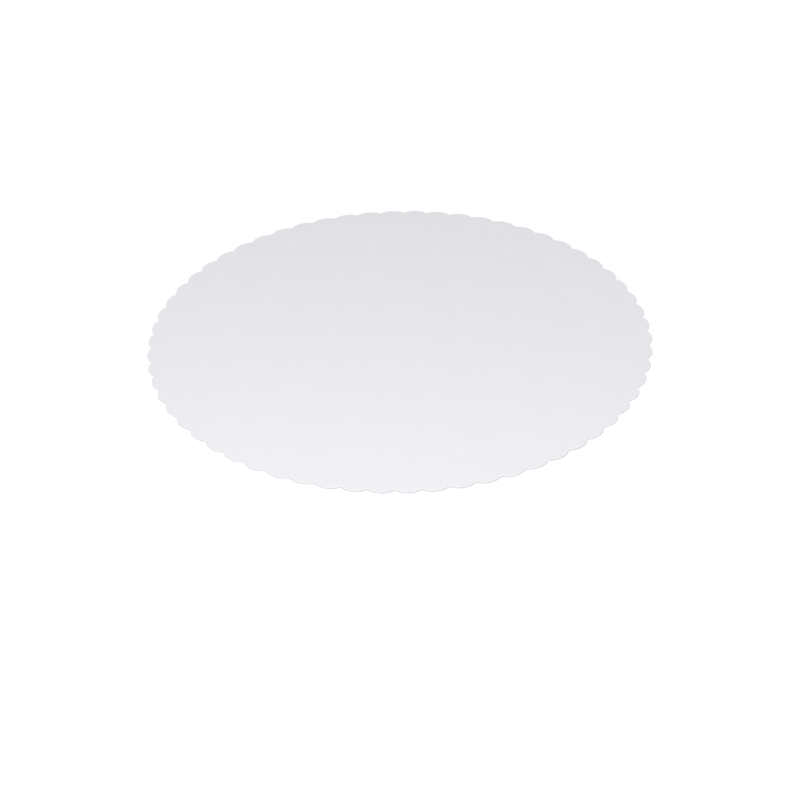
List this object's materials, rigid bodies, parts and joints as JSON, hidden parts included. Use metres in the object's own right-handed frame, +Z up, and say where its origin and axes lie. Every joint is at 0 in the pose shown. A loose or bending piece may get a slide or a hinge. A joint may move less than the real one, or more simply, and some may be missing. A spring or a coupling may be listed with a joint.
{
  "type": "cake board",
  "caption": "Round flat cake board of thin white card, with a scalloped die-cut edge.",
  "frame": {"origin": "middle of the underside, where the board lies on a table", "axes": "+Z up through the card, out of the face that carries the cake; +X towards the tip of one scallop"},
  "size_m": [0.22, 0.2198, 0.0005],
  "materials": {
    "white_card": "matt white coated card"
  },
  "bodies": {
    "root": {"cake_board": "white_card"}
  },
  "joints": []
}
